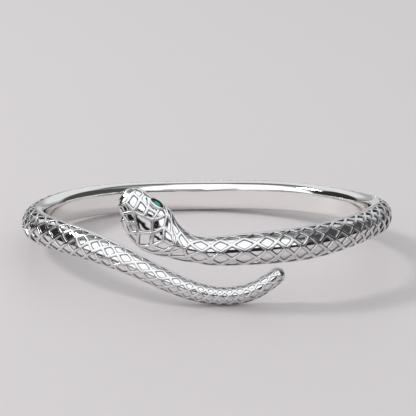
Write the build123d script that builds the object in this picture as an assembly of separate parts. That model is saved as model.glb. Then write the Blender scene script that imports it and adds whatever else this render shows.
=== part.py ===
from build123d import *
import math
import os

# Sizes in millimetres, angles in degrees.
# The band lies on the floor: +Z up, the head and the tail at -Y, the head on the -X side of the front.

# The opening for the wrist, between the flat inner faces
opening_width = 57.4
opening_depth = 50.4

# The band's section at the back: its height, and how far it stands out and in from its middle line
band_height = 5.4
band_crown = 2.32
band_back = 1.75

# How much higher the band's middle line is at the front than at the back
front_rise = 6.8

# The lean at which the band balances on its back and on the low bend of its tail
settle_pitch = 0.18
settle_roll = -1.5

# The head: from the snout to the arch behind the jaws, and across the jaws
head_length = 10.4
head_width = 8.6
nose_round = 1.6
tail_round = 1.3

# The raised net and its sunk cells
scale_pitch = 3.25
rib_width = 0.74
rib_least = 0.45
rib_crown = 0.07
cell_depth = 0.36
head_rib_width = 0.56
head_cell_depth = 0.34
net_edge = 90.0
net_rows = 3
net_start_share = 0.8

# The most that ribs take of a small plate and of its narrowest place, and how far a corner of a
# plate may be sharpened
plate_share_limit = 0.6
narrow_share_limit = 0.42
corner_limit = 0.35

# How far the net's first row sweeps forward at the jaws, and how far down the neck that fades out
arch_sweep = 4.1
arch_bend = 1.1
arch_fade = 7.0
arch_ease = 2

# The row of small cells between the head's rim and the net
collar_length = 1.95

# The eye stones and their sockets. The eye's place is a share of head_length, as its plates' are.
eye_length = 2.4
eye_width = 1.0
eye_clearance = 0.06
bezel_width = 0.2
bezel_rise = 0.12
socket_depth = 0.62
stone_crown = 0.26
table_share = 0.6
culet_share = 0.55
girdle_share = 0.3
eye_share = 0.4567
eye_angle = 68.0
eye_sides = 8

# Short steps along and round the head, to find which way its skin faces at the eye
eye_reach = 0.5
eye_reach_angle = 4.0

# The band from the tail's tip to the snout. A bearing is the angle of a point of the oval as seen
# from above, 0 at the right and 90 at the back. Rise is a share of front_rise, height a share of
# band_height, stretch a share of scale_pitch at that height.
PATH_COLUMNS = ("bearing", "rise", "height", "stretch")
PATH = [
    (294.8, 0.38, 0.50, 1.73),
    (286.0, -0.03, 0.56, 1.39),
    (276.0, -0.17, 0.57, 0.89),
    (264.0, 0.01, 0.62, 1.05),
    (250.0, 0.44, 0.71, 1.41),
    (235.0, 0.76, 0.84, 0.94),
    (220.0, 0.84, 0.94, 1.06),
    (205.0, 0.76, 0.98, 1.17),
    (190.0, 0.62, 1.00, 1.04),
    (175.0, 0.45, 1.02, 1.01),
    (150.0, 0.27, 1.03, 1.01),
    (120.0, 0.095, 1.01, 1.02),
    (90.0, 0.0, 1.00, 1.02),
    (60.0, 0.125, 1.00, 1.01),
    (30.0, 0.31, 1.00, 1.01),
    (8.0, 0.57, 0.99, 1.00),
    (-10.0, 0.81, 0.96, 1.20),
    (-25.0, 0.94, 0.94, 0.86),
    (-40.0, 0.99, 0.97, 0.95),
    (-55.0, 0.99, 1.03, 0.92),
    (-70.0, 1.01, 1.01, 0.93),
    (-84.0, 1.00, 0.93, 1.25),
    (-90.8, 1.01, 0.86, 1.05),
    (-93.8, 1.045, 0.83, 1.21),
    (-96.6, 1.09, 0.83, 0.77),
    (-99.7, 1.19, 0.83, 0.45),
    (-103.4, 1.33, 0.83, 0.60),
    (-107.9, 1.60, 0.83, 1.00),
    (-112.0, 1.97, 0.83, 1.00),
    (-115.1, 2.23, 0.83, 1.00),
    (-117.0, 2.36, 0.83, 1.00),
]

# How the head swells from the neck: distance from the snout as a share of head_length, and the
# share of the way from the neck's height to head_width.
SWELL_COLUMNS = ("from_snout", "swell")
SWELL = [
    (0.0, -0.12),
    (0.10, 0.05),
    (0.19, 0.24),
    (0.35, 0.58),
    (0.48, 0.84),
    (0.62, 0.98),
    (0.76, 1.0),
    (0.87, 0.86),
    (0.98, 0.62),
    (1.19, 0.25),
    (1.36, 0.09),
    (1.51, 0.0),
    (1.70, 0.0),
]

# The section's smooth inner side, from the net's upper edge to the middle of the flat face:
# how far in, as a share of band_back, and how high, as a share of the half height.
INNER_COLUMNS = ("inward", "height")
INNER_SIDE = [
    (0.52, 0.92),
    (0.93, 0.70),
    (1.0, 0.0),
    (0.93, -0.70),
    (0.52, -0.92),
]

# The rings that close the tail's end, as shares of the way from its tip to the net
TAIL_RINGS = (1.0, 0.5, 0.15)

# Where the ribs of one side of the head meet: distance from the snout as a share of head_length,
# and the angle round from the middle of its top.
HEAD_COLUMNS = ("name", "from_snout", "angle")
HEAD_POINTS = [
    ("snout_low", 0.028, 90.0),
    ("snout_middle", 0.165, 0.0),
    ("snout_side", 0.118, 45.0),
    ("snout_edge", 0.092, 90.0),
    ("brow_middle", 0.337, 0.0),
    ("brow_side", 0.250, 42.0),
    ("brow_edge", 0.216, 90.0),
    ("crown_front", 0.500, 12.0),
    ("crown_side", 0.635, 22.0),
    ("crown_rear", 0.790, 0.0),
    ("cheek_front", 0.425, 36.0),
    ("cheek_rear", 0.590, 40.0),
    ("temple", 0.700, 40.0),
    ("lip", 0.330, 90.0),
    ("jaw", 0.470, 90.0),
]

# The sunk plates of one side of the head, by their corners. Those of the middle are given whole,
# and a name that ends in _left is on the far side. The edge points lie on the head's edge, from
# the neck to the snout, and the smooth plates between the eye and that edge have no ribs.
SIDE_PLATES = [
    ("snout_middle", "snout_side", "brow_side", "brow_middle"),
    ("snout_side", "snout_edge", "brow_edge", "brow_side"),
    ("brow_middle", "brow_side", "cheek_front", "crown_front"),
    ("brow_side", "brow_edge", "lip", "eye_7", "eye_0", "eye_1", "cheek_front"),
    ("crown_front", "cheek_front", "cheek_rear", "crown_side"),
    ("cheek_front", "eye_1", "eye_2", "eye_3", "cheek_rear"),
    ("crown_side", "cheek_rear", "temple"),
    ("cheek_rear", "eye_3", "eye_4", "arch_2", "temple"),
    ("eye_4", "eye_5", "arch_3", "arch_2"),
    ("crown_side", "temple", "arch_2", "arch_1", "crown_rear"),
]
MIDDLE_PLATES = [
    ("snout", "snout_low", "snout_edge", "snout_side", "snout_middle",
     "snout_side_left", "snout_edge_left", "snout_low_left"),
    ("brow_middle", "crown_front", "crown_side", "crown_rear", "crown_side_left", "crown_front_left"),
    ("crown_rear", "arch_1", "arch_0", "arch_1_left"),
]
EDGE_POINTS = ("arch_3", "jaw", "lip", "brow_edge", "snout_edge", "snout_low")
SMOOTH_PLATES = [
    ("lip", "jaw", "eye_6", "eye_7"),
    ("jaw", "arch_3", "eye_5", "eye_6"),
]


def smooth_curve(places, values):
    """A smooth line through rows of a table, as a function of the place."""
    if places[0] > places[-1]:
        places = places[::-1]
        values = values[::-1]
    count = len(places)
    gaps = [places[i + 1] - places[i] for i in range(count - 1)]
    rises = [(values[i + 1] - values[i]) / gaps[i] for i in range(count - 1)]
    upper = [0.0] * count
    bends = [0.0] * count
    for i in range(1, count - 1):
        pivot = 2 * (gaps[i - 1] + gaps[i]) - gaps[i - 1] * upper[i - 1]
        upper[i] = gaps[i] / pivot
        bends[i] = (6 * (rises[i] - rises[i - 1]) - gaps[i - 1] * bends[i - 1]) / pivot
    for i in range(count - 2, 0, -1):
        bends[i] = bends[i] - upper[i] * bends[i + 1]

    def at(place):
        place = min(max(place, places[0]), places[-1])
        k = 0
        while k < count - 2 and place > places[k + 1]:
            k += 1
        left = (places[k + 1] - place) / gaps[k]
        right = 1 - left
        bend = (left ** 3 - left) * bends[k] + (right ** 3 - right) * bends[k + 1]
        return left * values[k] + right * values[k + 1] + bend * gaps[k] ** 2 / 6

    return at


def column(table, names, name):
    return [row[names.index(name)] for row in table]


def unit(v):
    size = math.sqrt(v[0] ** 2 + v[1] ** 2 + v[2] ** 2)
    return (v[0] / size, v[1] / size, v[2] / size)


def cross(a, b):
    return (a[1] * b[2] - a[2] * b[1], a[2] * b[0] - a[0] * b[2], a[0] * b[1] - a[1] * b[0])


def mix(*terms):
    """The sum of (amount, vector) pairs."""
    return tuple(sum(amount * vector[i] for amount, vector in terms) for i in range(3))


# The middle line: an oval as seen from above, with the rise of the table
bearings = column(PATH, PATH_COLUMNS, "bearing")
rise_at = smooth_curve(bearings, column(PATH, PATH_COLUMNS, "rise"))
height_at = smooth_curve(bearings, column(PATH, PATH_COLUMNS, "height"))
stretch_at = smooth_curve(bearings, column(PATH, PATH_COLUMNS, "stretch"))
swell_places = column(SWELL, SWELL_COLUMNS, "from_snout")
swell_at = smooth_curve(swell_places, column(SWELL, SWELL_COLUMNS, "swell"))
inward_shares = column(INNER_SIDE, INNER_COLUMNS, "inward")
inner_heights = column(INNER_SIDE, INNER_COLUMNS, "height")
head_names = column(HEAD_POINTS, HEAD_COLUMNS, "name")
head_shares = dict(zip(head_names, column(HEAD_POINTS, HEAD_COLUMNS, "from_snout")))
head_angles = dict(zip(head_names, column(HEAD_POINTS, HEAD_COLUMNS, "angle")))
half_width = opening_width / 2 + band_back
half_depth = opening_depth / 2 + band_back
path_step = 0.5


def middle_point(bearing):
    turn = math.radians(bearing)
    height = band_height / 2 + front_rise * rise_at(bearing)
    return (half_width * math.cos(turn), half_depth * math.sin(turn), height)


first_bearing = bearings[0]
last_bearing = bearings[-1]
path_count = int(round((first_bearing - last_bearing) / path_step))
walk_step = (last_bearing - first_bearing) / path_count
walk_bearings = [first_bearing + walk_step * i for i in range(path_count + 1)]
walk_points = [middle_point(bearing) for bearing in walk_bearings]
walk_lengths = [0.0]
for before, after in zip(walk_points, walk_points[1:]):
    walk_lengths.append(walk_lengths[-1] + math.dist(before, after))
whole_length = walk_lengths[-1]


def bearing_at(along):
    """The bearing at a distance along the band from the tail's tip."""
    along = min(max(along, 0.0), whole_length)
    low = 0
    high = path_count
    while high - low > 1:
        half = (low + high) // 2
        if walk_lengths[half] <= along:
            low = half
        else:
            high = half
    share = (along - walk_lengths[low]) / (walk_lengths[high] - walk_lengths[low])
    return walk_bearings[low] + share * (walk_bearings[high] - walk_bearings[low])


def end_round(distance, radius):
    """The share of the full section that is left near a rounded end."""
    if distance >= radius:
        return 1.0
    return math.sqrt(max(0.0, 1 - (1 - distance / radius) ** 2))


def section_at(along):
    """Middle, way out, way up, half height, crown, back and end share of the section there."""
    bearing = bearing_at(along)
    turn = math.radians(bearing)
    middle = middle_point(bearing)
    ahead = middle_point(bearing - path_step)
    behind = middle_point(bearing + path_step)
    forward = unit(mix((1, ahead), (-1, behind)))
    outward = unit((math.cos(turn) / half_width, math.sin(turn) / half_depth, 0.0))
    upward = unit(cross(forward, outward))
    from_snout = whole_length - along
    height_share = height_at(bearing)
    half_height = height_share * band_height / 2
    swell = swell_at(from_snout / head_length)
    half_height += swell * (head_width / 2 - half_height)
    ends = end_round(along, tail_round) * end_round(from_snout, nose_round)
    crown = height_share * band_crown * ends
    back = height_share * band_back * ends
    return middle, outward, upward, half_height * ends, crown, back, ends


def skin_point(along, angle, sunk=0.0):
    """A point of the outer skin. Angle 0 is straight out, 90 is up. Sunk is how deep below it."""
    middle, outward, upward, half_height, crown, back, ends = section_at(along)
    turn = math.radians(angle)
    drop = sunk * ends
    out = (crown - drop) * math.cos(turn)
    up = (half_height - drop) * math.sin(turn)
    return mix((1, middle), (out, outward), (up, upward))


def inner_point(along, row):
    """A point of the smooth inner side, by its row of the table."""
    middle, outward, upward, half_height, crown, back, ends = section_at(along)
    inward = inward_shares[row] * back
    height = inner_heights[row] * half_height
    return mix((1, middle), (-inward, outward), (height, upward))


def arc_per_degree(along, angle):
    middle, outward, upward, half_height, crown, back, ends = section_at(along)
    turn = math.radians(angle)
    return math.radians(math.hypot(crown * math.sin(turn), half_height * math.cos(turn)))


def side_distance(point, a, b):
    """The distance from a flat point to a flat side."""
    length = math.dist(a, b)
    share = ((point[0] - a[0]) * (b[0] - a[0]) + (point[1] - a[1]) * (b[1] - a[1])) / length ** 2
    share = min(max(share, 0.0), 1.0)
    foot = (a[0] + share * (b[0] - a[0]), a[1] + share * (b[1] - a[1]))
    return math.dist(point, foot)


def narrowest(flat):
    """The least distance from a corner of an outline to a side that it isn't on."""
    count = len(flat)
    gaps = []
    for i in range(count):
        for k in range(count):
            if i not in (k, (k + 1) % count):
                gaps.append(side_distance(flat[i], flat[k], flat[(k + 1) % count]))
    return min(gaps)


def shrink(corners, distance):
    """Move each side of a plate inwards by a distance, measured on the skin."""
    count = len(corners)
    middle_along = sum(c[0] for c in corners) / count
    middle_angle = sum(c[1] for c in corners) / count
    scale = arc_per_degree(middle_along, middle_angle)
    flat = [((c[0] - middle_along), (c[1] - middle_angle) * scale) for c in corners]
    area = sum(a[0] * b[1] - b[0] * a[1] for a, b in zip(flat, flat[1:] + flat[:1]))
    sense = 1 if area > 0 else -1
    length = sum(math.dist(a, b) for a, b in zip(flat, flat[1:] + flat[:1]))
    distance = min(distance, plate_share_limit * abs(area) / length, narrow_share_limit * narrowest(flat))
    moved = []
    for i in range(count):
        before = flat[i - 1]
        here = flat[i]
        after = flat[(i + 1) % count]
        first = math.dist(before, here)
        second = math.dist(here, after)
        normal_a = (-(here[1] - before[1]) / first * sense, (here[0] - before[0]) / first * sense)
        normal_b = (-(after[1] - here[1]) / second * sense, (after[0] - here[0]) / second * sense)
        dot = normal_a[0] * normal_b[0] + normal_a[1] * normal_b[1]
        reach = distance / max(1 + dot, corner_limit)
        x = here[0] + reach * (normal_a[0] + normal_b[0])
        y = here[1] + reach * (normal_a[1] + normal_b[1])
        moved.append((middle_along + x, middle_angle + y / scale))
    return moved


# The lattice. Its rows are row_angle apart and its steps half a pitch apart, and ribs cross where
# the step and the row add up to an even number.
row_angle = net_edge / net_rows
net_start = net_start_share * tail_round
net_end = whole_length - head_length - collar_length
net_samples = 800


def count_pitches():
    """The running count of pitches along the net, at even distances."""
    counts = [0.0]
    for i in range(net_samples):
        along = net_start + (net_end - net_start) * (i + 0.5) / net_samples
        bearing = bearing_at(along)
        pitch = scale_pitch * height_at(bearing) * stretch_at(bearing)
        counts.append(counts[-1] + (net_end - net_start) / net_samples / pitch)
    return counts


pitch_counts = count_pitches()
net_steps = 2 * round(pitch_counts[-1])


def step_along(step):
    """The distance along the band of a step of the net."""
    target = pitch_counts[-1] * step / net_steps
    k = 0
    while k < net_samples - 1 and pitch_counts[k + 1] < target:
        k += 1
    share = (target - pitch_counts[k]) / (pitch_counts[k + 1] - pitch_counts[k])
    return net_start + (net_end - net_start) * (k + share) / net_samples


step_places = [step_along(step) for step in range(net_steps + 1)]


def net_place(step, row):
    """Where a step and row of the net lie: distance along the band, and angle."""
    angle = row * row_angle
    along = step_places[step]
    fade = max(0.0, 1 - (net_end - along) / arch_fade)
    sweep = arch_sweep * (abs(angle) / net_edge) ** arch_bend * fade ** arch_ease
    return along + sweep, angle


def arch_place(row):
    """Where a row of the net meets the head's rim, behind the collar."""
    along, angle = net_place(net_steps, row)
    return along + collar_length, angle


# The faceted surface is kept as triangles between numbered points
class Facets:
    def __init__(self):
        self.points = []
        self.numbers = {}
        self.triangles = []

    def number(self, point):
        key = tuple(round(value, 5) for value in point)
        if key not in self.numbers:
            self.numbers[key] = len(self.points)
            self.points.append(point)
        return self.numbers[key]

    def triangle(self, a, b, c):
        """A facet. Its corners are given clockwise as seen from outside."""
        corners = (self.number(a), self.number(c), self.number(b))
        if len(set(corners)) == 3:
            self.triangles.append(corners)

    def quad(self, a, b, c, d):
        self.triangle(a, b, c)
        self.triangle(a, c, d)

    def band(self, ring_a, ring_b):
        """Quads between two closed rings of as many points."""
        for i in range(len(ring_a)):
            j = (i + 1) % len(ring_a)
            self.quad(ring_a[i], ring_a[j], ring_b[j], ring_b[i])

    def fan(self, ring, tip):
        for i in range(len(ring)):
            self.triangle(ring[i], ring[(i + 1) % len(ring)], tip)

    def solid(self):
        faces = []
        for a, b, c in self.triangles:
            corners = [self.points[a], self.points[b], self.points[c]]
            faces.append(Face(Wire.make_polygon(corners, close=True)))
        return Solid(Shell(faces))


def in_order(corners):
    """The corners in the one order round that makes every piece of the skin face outwards."""
    area = sum(a[0] * b[1] - b[0] * a[1] for a, b in zip(corners, corners[1:] + corners[:1]))
    return corners if area > 0 else corners[::-1]


def turn_of(a, b, c):
    """Twice the area of a flat triangle, above zero where the way from a by b to c bends left."""
    return (b[0] - a[0]) * (c[1] - a[1]) - (b[1] - a[1]) * (c[0] - a[0])


def is_ear(flat, left, k):
    """Whether the corner can be cut off the outline without cutting across another corner."""
    a = flat[left[k - 1]]
    b = flat[left[k]]
    c = flat[left[(k + 1) % len(left)]]
    if turn_of(a, b, c) <= 0:
        return False
    for number in left:
        p = flat[number]
        if p in (a, b, c):
            continue
        if turn_of(a, b, p) >= 0 and turn_of(b, c, p) >= 0 and turn_of(c, a, p) >= 0:
            return False
    return True


def cut_up(corners):
    """Cut a plate's outline into triangles by corner numbers, also where it bends inwards."""
    middle_along = sum(c[0] for c in corners) / len(corners)
    middle_angle = sum(c[1] for c in corners) / len(corners)
    scale = arc_per_degree(middle_along, middle_angle)
    flat = [(along, angle * scale) for along, angle in corners]
    left = list(range(len(corners)))
    cuts = []
    while len(left) > 3:
        ears = [k for k in range(len(left)) if is_ear(flat, left, k)]
        k = min(ears, key=lambda k: math.dist(flat[left[k - 1]], flat[left[(k + 1) % len(left)]]))
        cuts.append((left[k - 1], left[k], left[(k + 1) % len(left)]))
        left.pop(k)
    cuts.append(tuple(left))
    return cuts


def sunk_plate(facets, corners, half_rib, depth):
    """A plate with ribs round it: crowned rib, wall and sunk floor. Corners are (along, angle)."""
    corners = in_order(corners)
    edge = shrink(corners, half_rib)
    rim = [skin_point(along, angle, -rib_crown) for along, angle in corners]
    shoulder = [skin_point(along, angle) for along, angle in edge]
    floor = [skin_point(along, angle, depth) for along, angle in edge]
    facets.band(rim, shoulder)
    facets.band(shoulder, floor)
    if len(corners) == 4:
        facets.quad(*floor)
    else:
        for a, b, c in cut_up(edge):
            facets.triangle(floor[a], floor[b], floor[c])


def smooth_plate(facets, corners):
    """A plain polished piece of the skin, fanned from its first corner."""
    ring = [skin_point(along, angle, -rib_crown) for along, angle in in_order(corners)]
    for i in range(1, len(ring) - 1):
        facets.triangle(ring[0], ring[i], ring[i + 1])


def add_net(facets):
    """All cells of the lattice. Cells lie where the step and the row add up to an odd number."""
    for step in range(net_steps + 1):
        for row in range(-net_rows, net_rows + 1):
            if (step + row) % 2 == 1:
                add_cell(facets, step, row)


def add_cell(facets, step, row):
    """One diamond, or the half or quarter of one that the net's edges leave."""
    corners = [(max(step - 1, 0), row)]
    if row > -net_rows:
        corners.append((step, row - 1))
    corners.append((min(step + 1, net_steps), row))
    if row < net_rows:
        corners.append((step, row + 1))
    places = [net_place(*corner) for corner in corners]
    share = height_at(bearing_at(step_places[step]))
    rib = rib_width * min(1.0, rib_least + (1 - rib_least) * share)
    sunk_plate(facets, places, rib / 2, cell_depth * min(1.0, share))


def add_collar(facets):
    """The small cells side by side between the net and the head's rim."""
    for row in range(-net_rows, net_rows):
        corners = [net_place(net_steps, row), net_place(net_steps, row + 1)]
        corners += [arch_place(row + 1), arch_place(row)]
        sunk_plate(facets, corners, head_rib_width / 2, head_cell_depth)


# The eyes. Each sits in a flat oval bezel whose outer corners are shared with the plates round it.
eye_along = whole_length - eye_share * head_length
eye_half_length = eye_length / 2 + eye_clearance + bezel_width
eye_half_angle = (eye_width / 2 + eye_clearance + bezel_width) / arc_per_degree(eye_along, eye_angle)


def eye_turn(index):
    return 2 * math.pi * index / eye_sides


def eye_corner(index):
    """A corner of the bezel on the skin, as (along, angle). Corner 0 points to the snout."""
    turn = eye_turn(index)
    return eye_along + eye_half_length * math.cos(turn), eye_angle - eye_half_angle * math.sin(turn)


def eye_frame(side):
    """Middle of the eye on the skin, way to the snout, way to the head's top, way out."""
    here = skin_point(eye_along, side * eye_angle)
    ahead = skin_point(eye_along + eye_reach, side * eye_angle)
    behind = skin_point(eye_along - eye_reach, side * eye_angle)
    higher = skin_point(eye_along, side * (eye_angle - eye_reach_angle))
    lower = skin_point(eye_along, side * (eye_angle + eye_reach_angle))
    forward = unit(mix((1, ahead), (-1, behind)))
    topward = mix((1, higher), (-1, lower))
    out = unit(cross(forward, topward))
    if side < 0:
        out = mix((-1, out))
    topward = cross(out, forward)
    if side < 0:
        topward = mix((-1, topward))
    return here, forward, unit(topward), out


def eye_oval(side, half_length, half_height, level):
    """An oval ring of the eye, at a level above the skin. Its sense turns over with the side."""
    here, forward, topward, out = eye_frame(side)
    ring = []
    for index in range(eye_sides):
        x = half_length * math.cos(eye_turn(index))
        y = half_height * math.sin(eye_turn(index))
        ring.append(mix((1, here), (x, forward), (y, topward), (level, out)))
    return ring


def add_socket(facets, side):
    outer = []
    for index in range(eye_sides):
        along, angle = eye_corner(index)
        outer.append(skin_point(along, side * angle, -rib_crown))
    hole_length = eye_length / 2 + eye_clearance
    hole_height = eye_width / 2 + eye_clearance
    rim = eye_oval(side, hole_length, hole_height, bezel_rise)
    floor = eye_oval(side, hole_length, hole_height, -socket_depth)
    if side > 0:
        outer.reverse()
        rim.reverse()
        floor.reverse()
    facets.band(outer, rim)
    facets.band(rim, floor)
    facets.fan(floor, eye_oval(side, 0.0, 0.0, -socket_depth)[0])


def eye_stone(side):
    """A cut stone: a small flat base, a girdle, slanted crown facets and a table."""
    seat = -socket_depth + eye_clearance
    rings = [
        (culet_share, seat),
        (1.0, -girdle_share * socket_depth),
        (1.0, bezel_rise),
        (table_share, stone_crown),
    ]
    loops = []
    for share, level in rings:
        loops.append(eye_oval(side, share * eye_length / 2, share * eye_width / 2, level))
    if side < 0:
        loops = [loop[::-1] for loop in loops]
    faces = [Face(Wire.make_polygon(loops[0][::-1])), Face(Wire.make_polygon(loops[-1]))]
    for lower, upper in zip(loops, loops[1:]):
        for i in range(eye_sides):
            j = (i + 1) % eye_sides
            faces.append(Face(Wire.make_polygon([lower[i], lower[j], upper[j], upper[i]])))
    return Solid(Shell(faces))


def head_place(name, side):
    """Where a named corner of the head's ribs lies: distance along the band, and angle."""
    if name.endswith("_left"):
        return head_place(name[:-len("_left")], -side)
    if name == "snout":
        return whole_length, 0.0
    if name.startswith("arch_"):
        along, angle = arch_place(int(name[-1]))
    elif name.startswith("eye_"):
        along, angle = eye_corner(int(name[-1]))
    else:
        along = whole_length - head_shares[name] * head_length
        angle = head_angles[name]
    return along, side * angle


def add_head(facets):
    for side in (1, -1):
        for names in SIDE_PLATES:
            corners = [head_place(name, side) for name in names]
            sunk_plate(facets, corners, head_rib_width / 2, head_cell_depth)
        for names in SMOOTH_PLATES:
            smooth_plate(facets, [head_place(name, side) for name in names])
        add_socket(facets, side)
    for names in MIDDLE_PLATES:
        corners = [head_place(name, 1) for name in names]
        sunk_plate(facets, corners, head_rib_width / 2, head_cell_depth)


def section_ring(along):
    """The smooth inner side at a distance along the band, from edge to edge of the net."""
    ring = [skin_point(along, net_edge, -rib_crown)]
    ring += [inner_point(along, row) for row in range(len(INNER_SIDE))]
    ring.append(skin_point(along, -net_edge, -rib_crown))
    return ring


def add_inner_side(facets):
    places = [net_place(step, net_rows)[0] for step in range(1, net_steps, 2)]
    places.insert(0, net_place(0, net_rows)[0])
    places.append(net_place(net_steps, net_rows)[0])
    places += [head_place(name, 1)[0] for name in EDGE_POINTS]
    rings = [section_ring(along) for along in places]
    for ring_a, ring_b in zip(rings, rings[1:]):
        for i in range(len(ring_a) - 1):
            facets.quad(ring_a[i], ring_b[i], ring_b[i + 1], ring_a[i + 1])
    snout = skin_point(whole_length, 0.0, -rib_crown)
    for i in range(len(rings[-1]) - 1):
        facets.triangle(rings[-1][i], snout, rings[-1][i + 1])


def add_tail_tip(facets):
    """The rounded end of the tail, in rings that close on its tip."""
    rings = []
    for share in TAIL_RINGS:
        along = share * net_start
        outer = [skin_point(along, row * row_angle, -rib_crown) for row in range(-net_rows, net_rows + 1)]
        rings.append(outer + section_ring(along)[1:-1])
    for ring_a, ring_b in zip(rings, rings[1:]):
        facets.band(ring_a, ring_b)
    facets.fan(rings[-1], skin_point(0.0, 0.0, 0.0))


cuff = Facets()
add_net(cuff)
add_collar(cuff)
add_head(cuff)
add_inner_side(cuff)
add_tail_tip(cuff)
print("cuff triangles", len(cuff.triangles), "length along the band", round(whole_length, 1))

pieces = {
    "snake_cuff": cuff.solid(),
    "right_eye_stone": eye_stone(1),
    "left_eye_stone": eye_stone(-1),
}

# The band leans as it balances by itself, its lowest point touches the floor, and the origin is
# under the middle of its box
lean = Rotation(settle_pitch, settle_roll, 0)
pieces = {name: piece.moved(lean) for name, piece in pieces.items()}
box = pieces["snake_cuff"].bounding_box()
to_origin = Location((-(box.min.X + box.max.X) / 2, -(box.min.Y + box.max.Y) / 2, -box.min.Z))
os.makedirs("parts", exist_ok=True)
for name, piece in pieces.items():
    placed = piece.moved(to_origin)
    print(name, "volume", round(placed.volume, 2), "valid", placed.is_valid)
    export_step(placed, "parts/" + name + ".step")
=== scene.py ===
# %% [markdown]
# # A cast silver snake bangle
#
# The bangle is one casting: a band that runs once round an oval, crosses over its own tail and
# ends in a head with two cut green stones. Its outside is a net of raised ribs with sunk, mirror
# polished cells between them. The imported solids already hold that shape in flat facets. Polished
# metal shows every facet as a hard patch of reflection, so here the same skin is made again with
# rounded ribs and smooth cells, inside the same box.

# %% Load the solids and keep their box
import math
from types import SimpleNamespace
import bmesh
import bpy
import numpy as np
from mathutils import Matrix, Vector


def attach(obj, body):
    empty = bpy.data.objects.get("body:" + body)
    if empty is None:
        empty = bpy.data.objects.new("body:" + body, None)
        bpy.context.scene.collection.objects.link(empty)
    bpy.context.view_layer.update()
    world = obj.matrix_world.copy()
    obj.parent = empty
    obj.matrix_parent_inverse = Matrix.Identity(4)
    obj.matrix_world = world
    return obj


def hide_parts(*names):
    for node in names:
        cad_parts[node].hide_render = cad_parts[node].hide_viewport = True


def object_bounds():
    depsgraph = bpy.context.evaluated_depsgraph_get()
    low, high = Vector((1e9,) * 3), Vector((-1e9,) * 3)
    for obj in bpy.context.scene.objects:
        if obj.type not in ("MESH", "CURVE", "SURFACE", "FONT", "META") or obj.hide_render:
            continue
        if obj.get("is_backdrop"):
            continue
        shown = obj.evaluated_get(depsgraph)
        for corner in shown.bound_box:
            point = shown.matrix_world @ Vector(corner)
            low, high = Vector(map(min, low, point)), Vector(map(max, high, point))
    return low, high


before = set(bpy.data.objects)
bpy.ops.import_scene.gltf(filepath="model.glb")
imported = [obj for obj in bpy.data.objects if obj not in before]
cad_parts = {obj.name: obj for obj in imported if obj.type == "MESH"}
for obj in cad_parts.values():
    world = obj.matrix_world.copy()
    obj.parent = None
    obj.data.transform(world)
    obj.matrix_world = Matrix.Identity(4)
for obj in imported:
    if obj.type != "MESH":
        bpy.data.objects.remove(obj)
solid_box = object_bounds()
MM = 0.001
print("nodes", sorted(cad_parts))
print("size", [round(s / MM, 2) for s in solid_box[1] - solid_box[0]])

# %% [markdown]
# ## The snake's own measures
#
# The band could be drawn as a curve with a bevel, but a bevel has the same section all along, and
# this band swells into a head and tapers to a tail. So its surface is a function: a distance along
# the band and an angle round it give a point of the skin. The tables hold the shape of the line
# and of the head, as shares of a few sizes. On the front strands the section bulges a little
# below its middle, and the net is turned round the band.

# %% Sizes in millimetres, angles in degrees
opening_width = 57.4
opening_depth = 50.4
band_height = 5.4
band_crown = 2.32
band_back = 1.75
front_rise = 6.8
lean_degrees = (0.18, -1.5)
origin_shift = (0.224, -0.100, 0.066)
head_length = 10.4
head_width = 8.6
nose_round = 1.6
tail_round = 1.3
net_start_share = 0.8
scale_pitch = 3.25
rib_width = 0.54
rib_least = 0.45
rib_crown = 0.055
cell_depth = 0.24
head_rib_width = 0.46
head_cell_depth = 0.24
net_edge = 90.0
net_rows = 3
arch_sweep = 4.1
arch_bend = 1.1
arch_fade = 7.0
arch_ease = 2
collar_length = 1.95
eye_length = 2.4
eye_width = 1.0
eye_clearance = 0.06
bezel_width = 0.2
socket_depth = 0.62
eye_share = 0.4567
eye_angle = 68.0
eye_sides = 8
print("opening", opening_width, "by", opening_depth, "mm, band", band_height, "mm high")

# %% The line of the band, from the tail's tip to the snout
# Columns: bearing seen from above, rise as a share of front_rise, height as a share of
# band_height, stretch as a share of scale_pitch at that height.
PATH = [
    (294.8, 0.38, 0.50, 1.73),
    (286.0, -0.03, 0.56, 1.39),
    (276.0, -0.17, 0.57, 0.89),
    (264.0, 0.01, 0.62, 1.05),
    (250.0, 0.44, 0.71, 1.41),
    (235.0, 0.76, 0.84, 0.94),
    (220.0, 0.84, 0.94, 1.06),
    (205.0, 0.76, 0.98, 1.17),
    (190.0, 0.62, 1.00, 1.04),
    (175.0, 0.45, 1.02, 1.01),
    (150.0, 0.27, 1.03, 1.01),
    (120.0, 0.095, 1.01, 1.02),
    (90.0, 0.0, 1.00, 1.02),
    (60.0, 0.125, 1.00, 1.01),
    (30.0, 0.31, 1.00, 1.01),
    (8.0, 0.57, 0.99, 1.00),
    (-10.0, 0.81, 0.96, 1.20),
    (-25.0, 0.94, 0.94, 0.86),
    (-40.0, 0.99, 0.97, 0.95),
    (-55.0, 0.99, 1.03, 0.92),
    (-70.0, 1.01, 1.01, 0.93),
    (-84.0, 1.00, 0.93, 1.25),
    (-90.8, 1.01, 0.86, 1.05),
    (-93.8, 1.045, 0.83, 1.21),
    (-96.6, 1.09, 0.83, 0.77),
    (-99.7, 1.19, 0.83, 0.45),
    (-103.4, 1.33, 0.83, 0.60),
    (-107.9, 1.60, 0.83, 1.00),
    (-112.0, 1.97, 0.83, 1.00),
    (-115.1, 2.23, 0.83, 1.00),
    (-117.0, 2.36, 0.83, 1.00),
]
print("rows of the line", len(PATH))

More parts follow.
